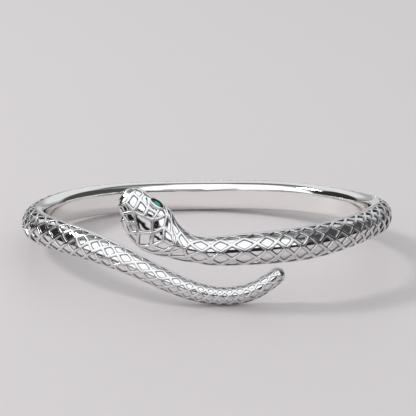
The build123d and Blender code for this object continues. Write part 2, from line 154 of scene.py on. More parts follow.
# %% How the head swells, and how the section and the net lie on the front strands
# Columns: distance from the snout as a share of head_length, share of the way from the neck's
# height to head_width.
SWELL = [
    (0.0, -0.12),
    (0.10, 0.05),
    (0.19, 0.24),
    (0.35, 0.58),
    (0.48, 0.84),
    (0.62, 0.98),
    (0.76, 1.0),
    (0.87, 0.86),
    (0.98, 0.62),
    (1.19, 0.25),
    (1.36, 0.09),
    (1.51, 0.0),
    (1.70, 0.0),
]

# Columns: bearing, how much more the section bulges below its middle than above it.
BELLY = [
    (294.8, 0.0),
    (276.0, 0.0),
    (262.0, 0.02),
    (253.0, 0.14),
    (243.0, 0.20),
    (224.0, 0.20),
    (214.0, 0.12),
    (200.0, 0.06),
    (150.0, 0.0),
    (-80.0, 0.0),
    (-98.0, 0.04),
    (-103.0, 0.26),
    (-107.0, 0.36),
    (-117.0, 0.38),
]

# Columns: bearing, degrees that the middle of the net is turned up round the band.
TURN = [
    (294.8, 14.0),
    (289.0, 24.0),
    (283.0, 23.0),
    (278.0, 18.0),
    (271.0, 15.0),
    (265.0, 10.0),
    (257.0, 8.0),
    (250.0, 2.0),
    (230.0, 3.0),
    (218.0, 0.0),
    (208.0, -3.0),
    (190.0, 0.0),
    (-18.0, 0.0),
    (-30.0, 4.0),
    (-45.0, 7.0),
    (-60.0, 9.5),
    (-70.0, 8.0),
    (-94.0, 9.0),
    (-99.0, 0.0),
]
belly_bearings, belly_shares = zip(*reversed(BELLY))
turn_bearings, turn_degrees = zip(*reversed(TURN))
print("greatest belly", max(belly_shares), "greatest turn", max(turn_degrees))


# %% Smooth curves through the tables
def smooth_curve(places, values):
    """A natural cubic spline through a table's rows, as a function that takes arrays."""
    order = np.argsort(places)
    x = np.array(places, float)[order]
    y = np.array(values, float)[order]
    gaps = np.diff(x)
    rises = np.diff(y) / gaps
    system = np.eye(len(x))
    wanted = np.zeros(len(x))
    for i in range(1, len(x) - 1):
        system[i, i - 1:i + 2] = (gaps[i - 1], 2 * (gaps[i - 1] + gaps[i]), gaps[i])
        wanted[i] = 6 * (rises[i] - rises[i - 1])
    bends = np.linalg.solve(system, wanted)

    def at(place):
        place = np.clip(place, x[0], x[-1])
        k = np.clip(np.searchsorted(x, place, side="left") - 1, 0, len(x) - 2)
        left = (x[k + 1] - place) / gaps[k]
        right = 1 - left
        bend = (left ** 3 - left) * bends[k] + (right ** 3 - right) * bends[k + 1]
        return left * y[k] + right * y[k + 1] + bend * gaps[k] ** 2 / 6

    return at


bearings = [row[0] for row in PATH]
rise_at = smooth_curve(bearings, [row[1] for row in PATH])
height_at = smooth_curve(bearings, [row[2] for row in PATH])
stretch_at = smooth_curve(bearings, [row[3] for row in PATH])
swell_at = smooth_curve([row[0] for row in SWELL], [row[1] for row in SWELL])
print("share of the height at the neck", round(float(height_at(-100.0)), 3))

# %% The middle line as seen from above is an oval
half_width = opening_width / 2 + band_back
half_depth = opening_depth / 2 + band_back
path_step = 0.5


def middle_line(bearing):
    """Points of the line that the band's sections are set along."""
    turn = np.radians(bearing)
    height = band_height / 2 + front_rise * rise_at(bearing)
    return np.stack([half_width * np.cos(turn), half_depth * np.sin(turn), height], axis=-1)


path_count = int(round((bearings[0] - bearings[-1]) / path_step))
walk_bearings = np.linspace(bearings[0], bearings[-1], path_count + 1)
walk_points = middle_line(walk_bearings)
walk_steps = np.linalg.norm(np.diff(walk_points, axis=0), axis=1)
walk_lengths = np.concatenate([[0.0], np.cumsum(walk_steps)])
whole_length = float(walk_lengths[-1])
print("length along the band", round(whole_length, 1))


# %% The skin of the band
def end_round(distance, radius):
    """What is left of the section near an end that is rounded off."""
    inside = np.clip(distance / radius, 0.0, 1.0)
    return np.sqrt(np.clip(1 - (1 - inside) ** 2, 0.0, 1.0))


def unit(v):
    return v / np.linalg.norm(v, axis=-1, keepdims=True)


def sections(along):
    """What the band's section is like at distances along it, and where and which way it lies."""
    along = np.clip(np.atleast_1d(np.asarray(along, float)), 0.0, whole_length)
    bearing = np.interp(along, walk_lengths, walk_bearings)
    turn = np.radians(bearing)
    forward = unit(middle_line(bearing - path_step) - middle_line(bearing + path_step))
    outward = np.stack([np.cos(turn) / half_width, np.sin(turn) / half_depth, 0 * turn], axis=-1)
    outward = unit(outward)
    share = height_at(bearing)
    from_snout = whole_length - along
    half_height = share * band_height / 2
    half_height = half_height + swell_at(from_snout / head_length) * (head_width / 2 - half_height)
    ends = end_round(along, tail_round) * end_round(from_snout, nose_round)
    return SimpleNamespace(
        middle=middle_line(bearing),
        outward=outward,
        upward=unit(np.cross(forward, outward)),
        half_height=half_height * ends,
        crown=share * band_crown * ends,
        back=share * band_back * ends,
        ends=ends,
        belly=np.interp(bearing, belly_bearings, belly_shares),
    )


def skin(along, angle, lift=0.0):
    """Points of the outer skin. Angle 0 is straight out and 90 is up. Lift is how far above it."""
    at = sections(along)
    turn = np.radians(np.broadcast_to(np.asarray(angle, float), at.ends.shape))
    rise = np.broadcast_to(np.asarray(lift, float), at.ends.shape) * at.ends
    out = (at.crown + rise) * np.cos(turn) * (1 - at.belly * np.sin(turn)) / (1 + at.belly ** 2 / 2)
    up = (at.half_height + rise) * np.sin(turn)
    return at.middle + out[:, None] * at.outward + up[:, None] * at.upward


def arc_per_degree(along, angle):
    """Millimetres of the skin in one degree round the band."""
    at = sections(along)
    turn = math.radians(angle)
    across = at.crown[0] * math.sin(turn)
    upright = at.half_height[0] * math.cos(turn)
    return math.radians(math.hypot(across, upright))


print("skin at the front of the head", skin(whole_length - head_length / 2, 0.0)[0].round(1))

# %% [markdown]
# ## Where the ribs run
#
# The net is a lattice in the two skin directions: its rows are angles and its steps are distances
# along the band, closer together where the band is thinner. Ribs cross at every other point of
# it. A texture could fake such a net, but it would have no thickness at the outline, and the ribs
# catch the light on their own sides, so each cell is real mesh.

# %% The lattice of the net
row_angle = net_edge / net_rows
net_start = net_start_share * tail_round
net_end = whole_length - head_length - collar_length
net_samples = 800
net_length = net_end - net_start
sample_places = net_start + net_length * (np.arange(net_samples) + 0.5) / net_samples
sample_bearings = np.interp(sample_places, walk_lengths, walk_bearings)
sample_pitches = scale_pitch * height_at(sample_bearings) * stretch_at(sample_bearings)
pitch_counts = np.concatenate([[0.0], np.cumsum(net_length / net_samples / sample_pitches)])
net_steps = 2 * round(float(pitch_counts[-1]))
step_places = np.interp(
    pitch_counts[-1] * np.arange(net_steps + 1) / net_steps,
    pitch_counts,
    net_start + net_length * np.arange(net_samples + 1) / net_samples,
)


def net_place(step, row):
    """Where a step and row of the net lie: distance along the band, and angle."""
    angle = row * row_angle
    along = float(step_places[step])
    fade = max(0.0, 1 - (net_end - along) / arch_fade)
    sweep = arch_sweep * (abs(angle) / net_edge) ** arch_bend * fade ** arch_ease
    bearing = np.interp(along, walk_lengths, walk_bearings)
    turn = float(np.interp(bearing, turn_bearings, turn_degrees))
    return along + sweep, angle + turn * (1 - (angle / net_edge) ** 2)


def arch_place(row):
    """Where the collar of small cells behind the head ends."""
    along, angle = net_place(net_steps, row)
    return along + collar_length, angle


print("steps of the net", net_steps)

# %% The plates of the head
# Columns: name, distance from the snout as a share of head_length, angle round from straight out.
HEAD_POINTS = [
    ("snout_low", 0.028, 90.0),
    ("snout_middle", 0.165, 0.0),
    ("snout_side", 0.118, 45.0),
    ("snout_edge", 0.092, 90.0),
    ("brow_middle", 0.337, 0.0),
    ("brow_side", 0.250, 42.0),
    ("brow_edge", 0.216, 90.0),
    ("crown_front", 0.500, 12.0),
    ("crown_side", 0.635, 22.0),
    ("crown_rear", 0.790, 0.0),
    ("cheek_front", 0.425, 36.0),
    ("cheek_rear", 0.590, 40.0),
    ("temple", 0.700, 40.0),
    ("lip", 0.330, 90.0),
    ("jaw", 0.470, 90.0),
]
SIDE_PLATES = [
    ("snout_middle", "snout_side", "brow_side", "brow_middle"),
    ("snout_side", "snout_edge", "brow_edge", "brow_side"),
    ("brow_middle", "brow_side", "cheek_front", "crown_front"),
    ("brow_side", "brow_edge", "lip", "eye_7", "eye_0", "eye_1", "cheek_front"),
    ("crown_front", "cheek_front", "cheek_rear", "crown_side"),
    ("cheek_front", "eye_1", "eye_2", "eye_3", "cheek_rear"),
    ("crown_side", "cheek_rear", "temple"),
    ("cheek_rear", "eye_3", "eye_4", "arch_2", "temple"),
    ("eye_4", "eye_5", "arch_3", "arch_2"),
    ("crown_side", "temple", "arch_2", "arch_1", "crown_rear"),
]
MIDDLE_PLATES = [
    ("snout", "snout_low", "snout_edge", "snout_side", "snout_middle",
     "snout_side_left", "snout_edge_left", "snout_low_left"),
    ("brow_middle", "crown_front", "crown_side", "crown_rear", "crown_side_left", "crown_front_left"),
    ("crown_rear", "arch_1", "arch_0", "arch_1_left"),
]
SMOOTH_PLATES = [
    ("lip", "jaw", "eye_6", "eye_7"),
    ("jaw", "arch_3", "eye_5", "eye_6"),
]
# The head's edge, from the collar to under the snout.
EDGE_POINTS = ("arch_3", "jaw", "lip", "brow_edge", "snout_edge", "snout_low")
print("plates on each side of the head", len(SIDE_PLATES) + len(SMOOTH_PLATES))

# %% Where each corner of the head lies
head_point = {}
for name, share, angle in HEAD_POINTS:
    head_point[name] = (whole_length - share * head_length, angle)

eye_along = whole_length - eye_share * head_length
eye_half_length = eye_length / 2 + eye_clearance + bezel_width
eye_half_width = eye_width / 2 + eye_clearance + bezel_width
eye_half_angle = eye_half_width / arc_per_degree(eye_along, eye_angle)


def head_place(name, side):
    """Where a named corner of the head lies. Side is 1 for the upper half of it and -1 for the lower."""
    if name.endswith("_left"):
        return head_place(name[:-len("_left")], -side)
    if name == "snout":
        return whole_length, 0.0
    if name.startswith("arch_"):
        along, angle = arch_place(int(name[-1]))
    elif name.startswith("eye_"):
        turn = 2 * math.pi * int(name[-1]) / eye_sides
        along = eye_along + eye_half_length * math.cos(turn)
        angle = eye_angle - eye_half_angle * math.sin(turn)
    else:
        along, angle = head_point[name]
    return along, side * angle


print("eye", round(float(2 * eye_half_angle)), "degrees across, with its rim")

# %% [markdown]
# ## From a plate to a rib, a wall and a floor
#
# Each plate of the net is a ring of corners. Its edges run along the middle of the ribs, so two
# neighbours share them. From there inwards the plate steps down in rings: over the rounded rib,
# down the wall and round the fillet. The lowest rings are smoothed, which rounds the cell's
# corners as a casting's are. The floor inside them stays at one depth under the skin, so it
# curves with the band. A bevel modifier on the flat facets could round the ribs too, but it
# leaves the floors flat, and a flat polished floor shows one even patch of reflection where the
# real cells show a bright and a dark part each.

# %% Moving an outline inwards
corner_limit = 0.35


def as_flat(corners):
    """A plate's corners laid flat in millimetres, and what brings a flat point back to the skin."""
    middle = np.mean(corners, axis=0)
    scale = arc_per_degree(middle[0], middle[1])
    return (np.array(corners) - middle) * (1, scale), middle, scale


def outline_area(flat):
    """What a flat outline covers, below zero where it runs clockwise."""
    after = np.roll(flat, -1, axis=0)
    return float(np.sum(flat[:, 0] * after[:, 1] - after[:, 0] * flat[:, 1]) / 2)


def outline_length(flat):
    return float(np.linalg.norm(flat - np.roll(flat, -1, axis=0), axis=1).sum())


def narrowest(flat):
    """The least distance from a corner of an outline to a side that it isn't on."""
    count = len(flat)
    least = math.inf
    for i in range(count):
        for k in range(count):
            if i in (k, (k + 1) % count):
                continue
            a = flat[k]
            run = flat[(k + 1) % count] - a
            share = min(max(float(np.dot(flat[i] - a, run) / np.dot(run, run)), 0.0), 1.0)
            least = min(least, float(np.linalg.norm(flat[i] - a - share * run)))
    return least


def moved_in(flat, distance):
    """Each side of a flat outline moved inwards by a distance."""
    before = flat - np.roll(flat, 1, axis=0)
    after = np.roll(flat, -1, axis=0) - flat
    normal_a = unit(np.stack([-before[:, 1], before[:, 0]], axis=1))
    normal_b = unit(np.stack([-after[:, 1], after[:, 0]], axis=1))
    reach = distance / np.maximum(1 + np.sum(normal_a * normal_b, axis=1), corner_limit)
    return flat + reach[:, None] * (normal_a + normal_b)


square = np.array([(0.0, 0.0), (2.0, 0.0), (2.0, 2.0), (0.0, 2.0)])
print("a square of 2 mm moved in by 0.5 mm covers", outline_area(moved_in(square, 0.5)))

# %% Points along the ribs
edge_segment = 0.42
edge_least = 4


def edge_count(a, b):
    """How many segments the rib between two corners gets. It is the same from both sides of the
    rib, and for the rib's mirror image on the other half of the band."""
    a, b, c, d = skin([a[0], b[0], a[0], b[0]], [a[1], b[1], -a[1], -b[1]])
    length = float(np.linalg.norm(b - a) + np.linalg.norm(d - c)) / 2
    return max(edge_least, int(round(length / edge_segment)))


def divided(outline, counts):
    """Points along each side of an outline."""
    parts = []
    for i, count in enumerate(counts):
        a = outline[i]
        b = outline[(i + 1) % len(outline)]
        shares = np.arange(count)[:, None] / count
        parts.append(a + (b - a) * shares)
    return np.concatenate(parts)


def edge_points(corners, counts):
    """Points along the ribs round a plate. A rib's points are worked out from its lesser end, so
    both of its plates get the same numbers and their points can be joined."""
    parts = []
    for i, count in enumerate(counts):
        a = tuple(corners[i])
        b = tuple(corners[(i + 1) % len(corners)])
        low, high = min(a, b), max(a, b)
        shares = np.arange(count + 1)[:, None] / count
        run = np.array(low) + (np.array(high) - np.array(low)) * shares
        if a != low:
            run = run[::-1]
        parts.append(run[:-1])
    return np.concatenate(parts)


def smoothed(ring, times):
    """A ring with each point drawn towards its two neighbours."""
    for _ in range(times):
        ring = (2 * ring + np.roll(ring, 1, axis=0) + np.roll(ring, -1, axis=0)) / 4
    return ring


print("segments along the first rib", edge_count(net_place(0, 0), net_place(1, 1)))


# %% A casting that joins equal points by itself
class Casting:
    """Points, faces, and how deep each point lies: 0 on top of a rib, 1 on the floor of a cell."""

    def __init__(self):
        self.points = []
        self.depths = []
        self.faces = []
        self.inner_faces = []
        self.known = {}

    def add(self, points, depth):
        """Numbers of the points, which are new or known by their place."""
        numbers = []
        for point in points:
            key = tuple(round(float(value), 6) for value in point)
            if key not in self.known:
                self.known[key] = len(self.points)
                self.points.append(key)
                self.depths.append(depth)
            numbers.append(self.known[key])
        return numbers

    def face(self, corners, inner=False):
        """A face, unless too few of its corners differ. Inner faces get the second finish."""
        kept = [c for i, c in enumerate(corners) if c != corners[i - 1]]
        if len(set(kept)) >= 3:
            if inner:
                self.inner_faces.append(len(self.faces))
            self.faces.append(tuple(kept))

    def band(self, ring_a, ring_b, closed=True, inner=False):
        """Faces between two rings, or between two open rows."""
        count = len(ring_a) if closed else len(ring_a) - 1
        for i in range(count):
            j = (i + 1) % len(ring_a)
            self.face((ring_a[i], ring_a[j], ring_b[j], ring_b[i]), inner)

    def fan(self, ring, tip, inner=False):
        """Faces from a ring to one point."""
        for i in range(len(ring)):
            self.face((ring[i], ring[(i + 1) % len(ring)], tip), inner)


trial = Casting()
print("numbers of one point added twice", trial.add([(0.0, 0.0, 0.0)] * 2, 0.0))

# %% The rings of a plate
# Columns: distance in from the rib's middle as a share of half the rib's width, lift as a share of
# rib_crown, drop as a share of the cell's depth, rounds of smoothing.
RINGS = [
    (0.55, 0.95, 0.00, 0),
    (0.90, 0.60, 0.00, 0),
    (1.02, 0.00, 0.35, 0),
    (1.10, 0.00, 0.92, 1),
    (1.22, 0.00, 1.00, 1),
]
# Sizes of the rings on the floor as shares of its outline, and the depth noted at the wall's foot,
# which is a little short of 1 so that the foot keeps some of the walls' painted shade.
FLOOR_SHARES = (0.88, 0.50)
shaded_foot_depth = 0.95
# What keeps the ribs and walls of a small or narrow plate from meeting in its middle.
plate_share_limit = 0.6
narrow_share_limit = 0.42
floor_share_limit = 0.82


def cut_plate(casting, corners, half_rib, depth):
    """One plate with its share of the ribs round it."""
    corners = [tuple(c) for c in corners]
    flat, middle, scale = as_flat(corners)
    if outline_area(flat) < 0:
        corners = corners[::-1]
        flat, middle, scale = as_flat(corners)
    area = outline_area(flat)
    round_reach = 2 * area / outline_length(flat)
    half = min(half_rib, plate_share_limit * round_reach, narrow_share_limit * narrowest(flat))
    counts = [edge_count(corners[i], corners[(i + 1) % len(corners)]) for i in range(len(corners))]
    edge = edge_points(corners, counts)
    last = casting.add(skin(edge[:, 0], edge[:, 1], rib_crown), 0.0)
    reach_limit = floor_share_limit * min(round_reach, narrowest(flat) / 2 + half)
    for share, lift, drop, rounds in RINGS:
        distance = min(share * half, reach_limit)
        ring = smoothed(divided(moved_in(flat, distance), counts), rounds)
        along = middle[0] + ring[:, 0]
        angle = middle[1] + ring[:, 1] / scale
        points = skin(along, angle, lift * rib_crown - drop * depth)
        numbers = casting.add(points, min(drop, shaded_foot_depth))
        casting.band(last, numbers)
        last = numbers
    outline = np.stack([along, angle], axis=1)
    centre = np.array([along.mean(), angle.mean()])
    for share in FLOOR_SHARES:
        floor_along, floor_angle = (centre + (outline - centre) * share).T
        numbers = casting.add(skin(floor_along, floor_angle, -depth), 1.0)
        casting.band(last, numbers)
        last = numbers
    casting.fan(last, casting.add(skin(centre[0], centre[1], -depth), 1.0)[0])


print("rings down a plate", len(RINGS) + len(FLOOR_SHARES))


# %% The net
def cut_net(casting):
    """All the plates of the net. Those of the thin tail have thinner ribs and less depth."""
    for step in range(net_steps + 1):
        for row in range(-net_rows, net_rows + 1):
            if (step + row) % 2 == 0:
                continue
            corners = [(max(step - 1, 0), row)]
            if row > -net_rows:
                corners.append((step, row - 1))
            corners.append((min(step + 1, net_steps), row))
            if row < net_rows:
                corners.append((step, row + 1))
            bearing = np.interp(step_places[step], walk_lengths, walk_bearings)
            share = float(height_at(bearing))
            rib = rib_width * min(1.0, rib_least + (1 - rib_least) * share)
            places = [net_place(*c) for c in corners]
            cut_plate(casting, places, rib / 2, cell_depth * min(1.0, share))


snake = Casting()
cut_net(snake)
print("faces of the net", len(snake.faces))

# %% The collar of small cells and the head's plates
head_plates = []
for row in range(-net_rows, net_rows):
    near = [net_place(net_steps, row), net_place(net_steps, row + 1)]
    head_plates.append(near + [arch_place(row + 1), arch_place(row)])
for side in (1, -1):
    head_plates += [[head_place(name, side) for name in names] for names in SIDE_PLATES]
head_plates += [[head_place(name, 1) for name in names] for names in MIDDLE_PLATES]
for corners in head_plates:
    cut_plate(snake, corners, head_rib_width / 2, head_cell_depth)
print("faces with the head's plates", len(snake.faces))


# %% The plain polished cheeks under the eyes
PLAIN_SHARES = (0.75, 0.5, 0.25)


def plain_plate(casting, corners):
    """A four-sided piece of the skin as a grid, with its points on the ribs round it shared."""
    corners = [tuple(c) for c in corners]
    counts = [edge_count(corners[i], corners[(i + 1) % 4]) for i in range(4)]
    edge = edge_points(corners, counts)
    ring = casting.add(skin(edge[:, 0], edge[:, 1], rib_crown), 0.0)
    flat = np.array(edge)
    middle = flat.mean(axis=0)
    for share in PLAIN_SHARES:
        inner = middle + (flat - middle) * share
        numbers = casting.add(skin(inner[:, 0], inner[:, 1], rib_crown), 0.0)
        casting.band(ring, numbers)
        ring = numbers
    casting.fan(ring, casting.add(skin(middle[0], middle[1], rib_crown), 0.0)[0])


for side in (1, -1):
    for names in SMOOTH_PLATES:
        plain_plate(snake, [head_place(name, side) for name in names])
print("faces with the cheeks", len(snake.faces))

# %% [markdown]
# ## The eyes' sockets
#
# A jeweller sets such a stone in a thin raised rim, the bezel, that is rubbed over its edge. The
# rim's outer side is shared with the plates round it, so it starts from their eight corners and
# turns into a true oval in its own flat frame. On the side of the head's top it reaches a little
# over the stone, as a lid. A ring laid on top of the head would be simpler, but a seam would show
# where it stands. The hole inside the rim is polished, because a clear stone shows what lies
# behind it.

# %% The frame of one eye
eye_reach = 0.5
eye_reach_angle = 4.0
# Columns: how much wider than the hole, level above the skin, share that the lid covers, depth.
SOCKET_RINGS = [
    (0.11, 0.08, 0.0, 0.1),
    (0.07, 0.16, 0.10, 0.1),
    (0.03, 0.18, 0.35, 0.1),
    (0.0, 0.16, 0.62, 0.1),
    # This ring's depth gives it the walls' painted shade.
    (0.0, 0.06, 0.58, 0.4),
    (0.0, -0.2, 0.0, 1.0),
    (-0.06, -0.52, 0.0, 1.0),
]


def eye_frame(side):
    """Middle of the eye on the skin, way to the snout, way to the head's top, way out."""
    along = [eye_along, eye_along + eye_reach, eye_along - eye_reach, eye_along, eye_along]
    angle = [eye_angle] * 3 + [eye_angle - eye_reach_angle, eye_angle + eye_reach_angle]
    here, ahead, behind, higher, lower = skin(along, side * np.array(angle))
    forward = unit(ahead - behind)
    out = unit(np.cross(forward, higher - lower)) * side
    topward = unit(np.cross(out, forward)) * side
    return here, forward, topward, out


def eye_oval(side, half_length, half_height, level, turns, lid=0.0):
    """Points of an oval over the eye. Lid is how far its half nearer the head's top is drawn in."""
    here, forward, topward, out = eye_frame(side)
    x = half_length * np.cos(turns)[:, None]
    y = half_height * np.sin(turns)[:, None]
    y = np.where(y > 0, y * (1 - lid), y)
    return here + x * forward + y * topward + level * out


print("middle of the right eye", eye_frame(1)[0].round(1))


# %% The rims and the holes inside them
def cut_socket(casting, side):
    """The rim of one eye and the hole inside it, down to its floor."""
    corners = [head_place("eye_" + str(k), side) for k in range(eye_sides)]
    counts = [edge_count(corners[i], corners[(i + 1) % eye_sides]) for i in range(eye_sides)]
    edge = edge_points(corners, counts)
    ring = casting.add(skin(edge[:, 0], edge[:, 1], rib_crown), 0.0)
    turns = [(k + np.arange(n) / n) * 2 * math.pi / eye_sides for k, n in enumerate(counts)]
    turns = np.concatenate(turns)
    hole_length = eye_length / 2 + eye_clearance
    hole_height = eye_width / 2 + eye_clearance
    for grow, level, lid, depth in SOCKET_RINGS:
        points = eye_oval(side, hole_length + grow, hole_height + grow, level, turns, lid)
        numbers = casting.add(points, depth)
        casting.band(ring, numbers)
        ring = numbers
    floor = eye_oval(side, 0.0, 0.0, -socket_depth, turns[:1])
    casting.fan(ring, casting.add(floor, 1.0)[0])


cut_socket(snake, 1)
cut_socket(snake, -1)
print("faces with the sockets", len(snake.faces))

# %% [markdown]
# ## The smooth inner side and the ends
#
# The inside of the band lies on the wrist, so it is plain, nearly flat and rounded into both
# edges. A solidify modifier could make it out of the outside, but it would copy the net. So it
# is made of arcs from edge to edge. It shares its edge points with the net's last row and the
# head's edge, so nothing gapes.

# %% The inner side from the tail to the snout
inner_power = 3.4
inner_count = 15
inner_turns = np.radians(np.linspace(90, -90, inner_count)[1:-1])


def inner_arc(along):
    """Points across the inner side at one distance along the band, from its top edge down."""
    at = sections(along)
    inward = at.back[0] * np.abs(np.cos(inner_turns)) ** (2 / inner_power)
    height = at.half_height[0] * np.sign(np.sin(inner_turns))
    height = height * np.abs(np.sin(inner_turns)) ** (2 / inner_power)
    return at.middle - inward[:, None] * at.outward + height[:, None] * at.upward


def inner_row(casting, along):
    """The points of the arc between the net's two edges, with both edges."""
    row = casting.add(skin(along, net_edge, rib_crown), 0.0)
    row += casting.add(inner_arc(along), 0.0)
    row += casting.add(skin(along, -net_edge, rib_crown), 0.0)
    return row


edge_run = [net_place(0, net_rows)]
edge_run += [net_place(step, net_rows) for step in range(1, net_steps, 2)]
edge_run.append(net_place(net_steps, net_rows))
edge_run += [head_place(name, 1) for name in EDGE_POINTS]
edge_places = [edge_run[0][0]]
for a, b in zip(edge_run, edge_run[1:]):
    edge_places += list(edge_points([a, b], [edge_count(a, b)])[1:, 0]) + [b[0]]
last_row = inner_row(snake, edge_places[0])
for along in edge_places[1:]:
    row = inner_row(snake, along)
    snake.band(last_row, row, closed=False, inner=True)
    last_row = row
print("rows of the inner side", len(edge_places))

# %% The nose closes under the snout's plate
# The last row of the inner side has fewer points than a ring of the nose, so it starts with its
# two ends taken several times over.
nose_low = head_place("snout_low", 1)
nose_tip = (whole_length, 0.0)
nose_run = edge_points([nose_low, nose_tip], [edge_count(nose_low, nose_tip)])
nose_arc = 4
for along, angle in nose_run[1:]:
    shares = np.arange(nose_arc) / nose_arc
    upper = angle + (net_edge - angle) * shares
    row = snake.add(skin(np.full(nose_arc, along), upper, rib_crown), 0.0)
    row += inner_row(snake, along)
    row += snake.add(skin(np.full(nose_arc, along), -upper[::-1], rib_crown), 0.0)
    if len(last_row) < len(row):
        last_row = [last_row[0]] * nose_arc + last_row + [last_row[-1]] * nose_arc
    snake.band(last_row, row, closed=False, inner=True)
    last_row = row
snout = snake.add(skin(whole_length, 0.0, rib_crown), 0.0)[0]
for a, b in zip(last_row, last_row[1:]):
    snake.face((a, b, snout), inner=True)
print("faces with the nose", len(snake.faces))

# %% The tail's round end
TAIL_SHARES = (1.0, 0.86, 0.7, 0.52, 0.35, 0.2, 0.08, 0.02)
tail_angles = [-net_edge]
for row in range(-net_rows, net_rows):
    a = net_place(0, row)
    b = net_place(0, row + 1)
    tail_angles += list(edge_points([a, b], [edge_count(a, b)])[1:, 1]) + [b[1]]


def tail_ring(casting, along):
    """One ring of the tail's end, outside and inside."""
    ring = casting.add(skin(np.full(len(tail_angles), along), tail_angles, rib_crown), 0.0)
    return ring + casting.add(inner_arc(along), 0.0)


tail_places = net_start * np.array(TAIL_SHARES)
ring = tail_ring(snake, float(tail_places[0]))
for along in tail_places[1:]:
    next_ring = tail_ring(snake, float(along))
    snake.band(ring, next_ring)
    ring = next_ring
snake.fan(ring, snake.add(skin(0.0, 0.0), 0.0)[0])
print("points", len(snake.points), "faces", len(snake.faces))

# %% [markdown]
# ## Laying the bangle down
#
# The band leans as it balances by itself on its back and on the low bend of its tail. The solids
# were turned and moved by the same small amounts. Turning the finished objects would do it too,
# but here an object stays at the origin and its place is in its mesh, so the points are turned.

# %% Into the frame
pitch_turn = Matrix.Rotation(math.radians(lean_degrees[0]), 4, "X")
roll_turn = Matrix.Rotation(math.radians(lean_degrees[1]), 4, "Y")
laid_down = Matrix.Translation(Vector(origin_shift)) @ pitch_turn @ roll_turn


def into_frame(points):
    """Points in millimetres of the snake's own frame, as metres of the shared frame."""
    turn = np.array(laid_down.to_3x3())
    shift = np.array(laid_down.translation)
    return (np.array(points) @ turn.T + shift) * MM


def make_piece(name, points, faces, smooth):
    """An object in the scene, made of points in millimetres and faces."""
    mesh = bpy.data.meshes.new(name)
    mesh.from_pydata(into_frame(points).tolist(), [], faces)
    mesh.validate()
    mesh.polygons.foreach_set("use_smooth", [smooth] * len(mesh.polygons))
    piece = bpy.data.objects.new(name, mesh)
    bpy.context.scene.collection.objects.link(piece)
    return piece


def face_outwards(piece):
    """Turn every face of a closed piece outwards, and print what it is like."""
    cast = bmesh.new()
    cast.from_mesh(piece.data)
    bmesh.ops.recalc_face_normals(cast, faces=cast.faces)
    volume = cast.calc_volume(signed=True)
    if volume < 0:
        bmesh.ops.reverse_faces(cast, faces=cast.faces)
    open_edges = sum(1 for edge in cast.edges if not edge.is_manifold)
    triangles = sum(len(face.verts) - 2 for face in cast.faces)
    cast.to_mesh(piece.data)
    cast.free()
    print(piece.name, "open edges", open_edges, "triangles", triangles)
    print("  cubic millimetres", round(abs(volume) / MM ** 3, 1))


snake_piece = make_piece("snake_casting", snake.points, snake.faces, True)
depth_layer = snake_piece.data.attributes.new("hollow", "FLOAT", "POINT")
depth_layer.data.foreach_set("value", snake.depths)
for number in snake.inner_faces:
    snake_piece.data.polygons[number].material_index = 1
face_outwards(snake_piece)

# %% [markdown]
# ## The cut stones
#
# Each eye is an oval brilliant: a table, eight star facets round it, eight kites, sixteen girdle
# facets and a pavilion that runs down to a small flat base. Facets must stay flat, so this mesh
# is not smoothed, and glass with flat facets gives the small hard flashes that a cut stone has.

# %% Cutting an oval stone
# Columns: share of the stone's half length and half width, level above the skin, corners, and
# whether the corners are turned by half a step.
stone_sides = 8
STONE_RINGS = [
    (0.55, -0.56, stone_sides, 0.0),
    (1.0, -0.17, 2 * stone_sides, 0.0),
    (1.0, -0.03, 2 * stone_sides, 0.0),
    (0.80, 0.09, stone_sides, 0.5),
    (0.58, 0.14, stone_sides, 0.0),
]


def cut_stone(side):
    """Points and faces of one eye's stone."""
    points = []
    rings = []
    for share, level, count, offset in STONE_RINGS:
        turns = (np.arange(count) + offset) * 2 * math.pi / count
        ring = eye_oval(side, share * eye_length / 2, share * eye_width / 2, level, turns)
        rings.append(list(range(len(points), len(points) + count)))
        points += [tuple(p) for p in ring]
    base, girdle_low, girdle, shoulder, table = rings
    faces = [tuple(base), tuple(table)]
    for k in range(stone_sides):
        n = (k + 1) % stone_sides
        around = (2 * k, 2 * k + 1, 2 * n)
        low_a, low_b, low_c = (girdle_low[i] for i in around)
        high_a, high_b, high_c = (girdle[i] for i in around)
        faces += [(base[k], low_a, low_b), (base[k], low_b, base[n]), (base[n], low_b, low_c)]
        faces += [(low_a, low_b, high_b, high_a), (low_b, low_c, high_c, high_b)]
        faces += [(high_a, high_b, shoulder[k]), (high_b, high_c, shoulder[k])]
        faces += [(high_c, shoulder[n], table[n]), (high_c, table[n], shoulder[k])]
        faces.append((table[k], shoulder[k], table[n]))
    return points, faces


stones = []
for name, side in (("right_eye_cut", 1), ("left_eye_cut", -1)):
    points, faces = cut_stone(side)
    stones.append(make_piece(name, points, faces, False))
    face_outwards(stones[-1])

# %% [markdown]
# ## Finishes
#
# Silver is a metal, so its colour is in its reflection and its surface is told by fine
# unevenness. Two effects are shared by more than one finish: the hair-fine marks that polishing
# and wearing leave, and the slow waviness of a hand-polished casting. Each is a node group with
# its own inputs, placed in a finish with its own values.

# %% Helpers for node trees
def new_group(name, inputs, outputs):
    """A node group with named inputs and outputs, and its two end nodes."""
    group = bpy.data.node_groups.new(name, "ShaderNodeTree")
    for label, kind, value in inputs:
        socket = group.interface.new_socket(name=label, in_out="INPUT", socket_type=kind)
        if value is not None:
            socket.default_value = value
    for label, kind in outputs:
        group.interface.new_socket(name=label, in_out="OUTPUT", socket_type=kind)
    entry = group.nodes.new("NodeGroupInput")
    leave = group.nodes.new("NodeGroupOutput")
    print(name, [label for label, *rest in inputs], "to", [label for label, kind in outputs])
    return group, entry, leave


def node(tree, kind, **settings):
    """A new node with its settings."""
    made = tree.nodes.new(kind)
    for key, value in settings.items():
        setattr(made, key, value)
    return made


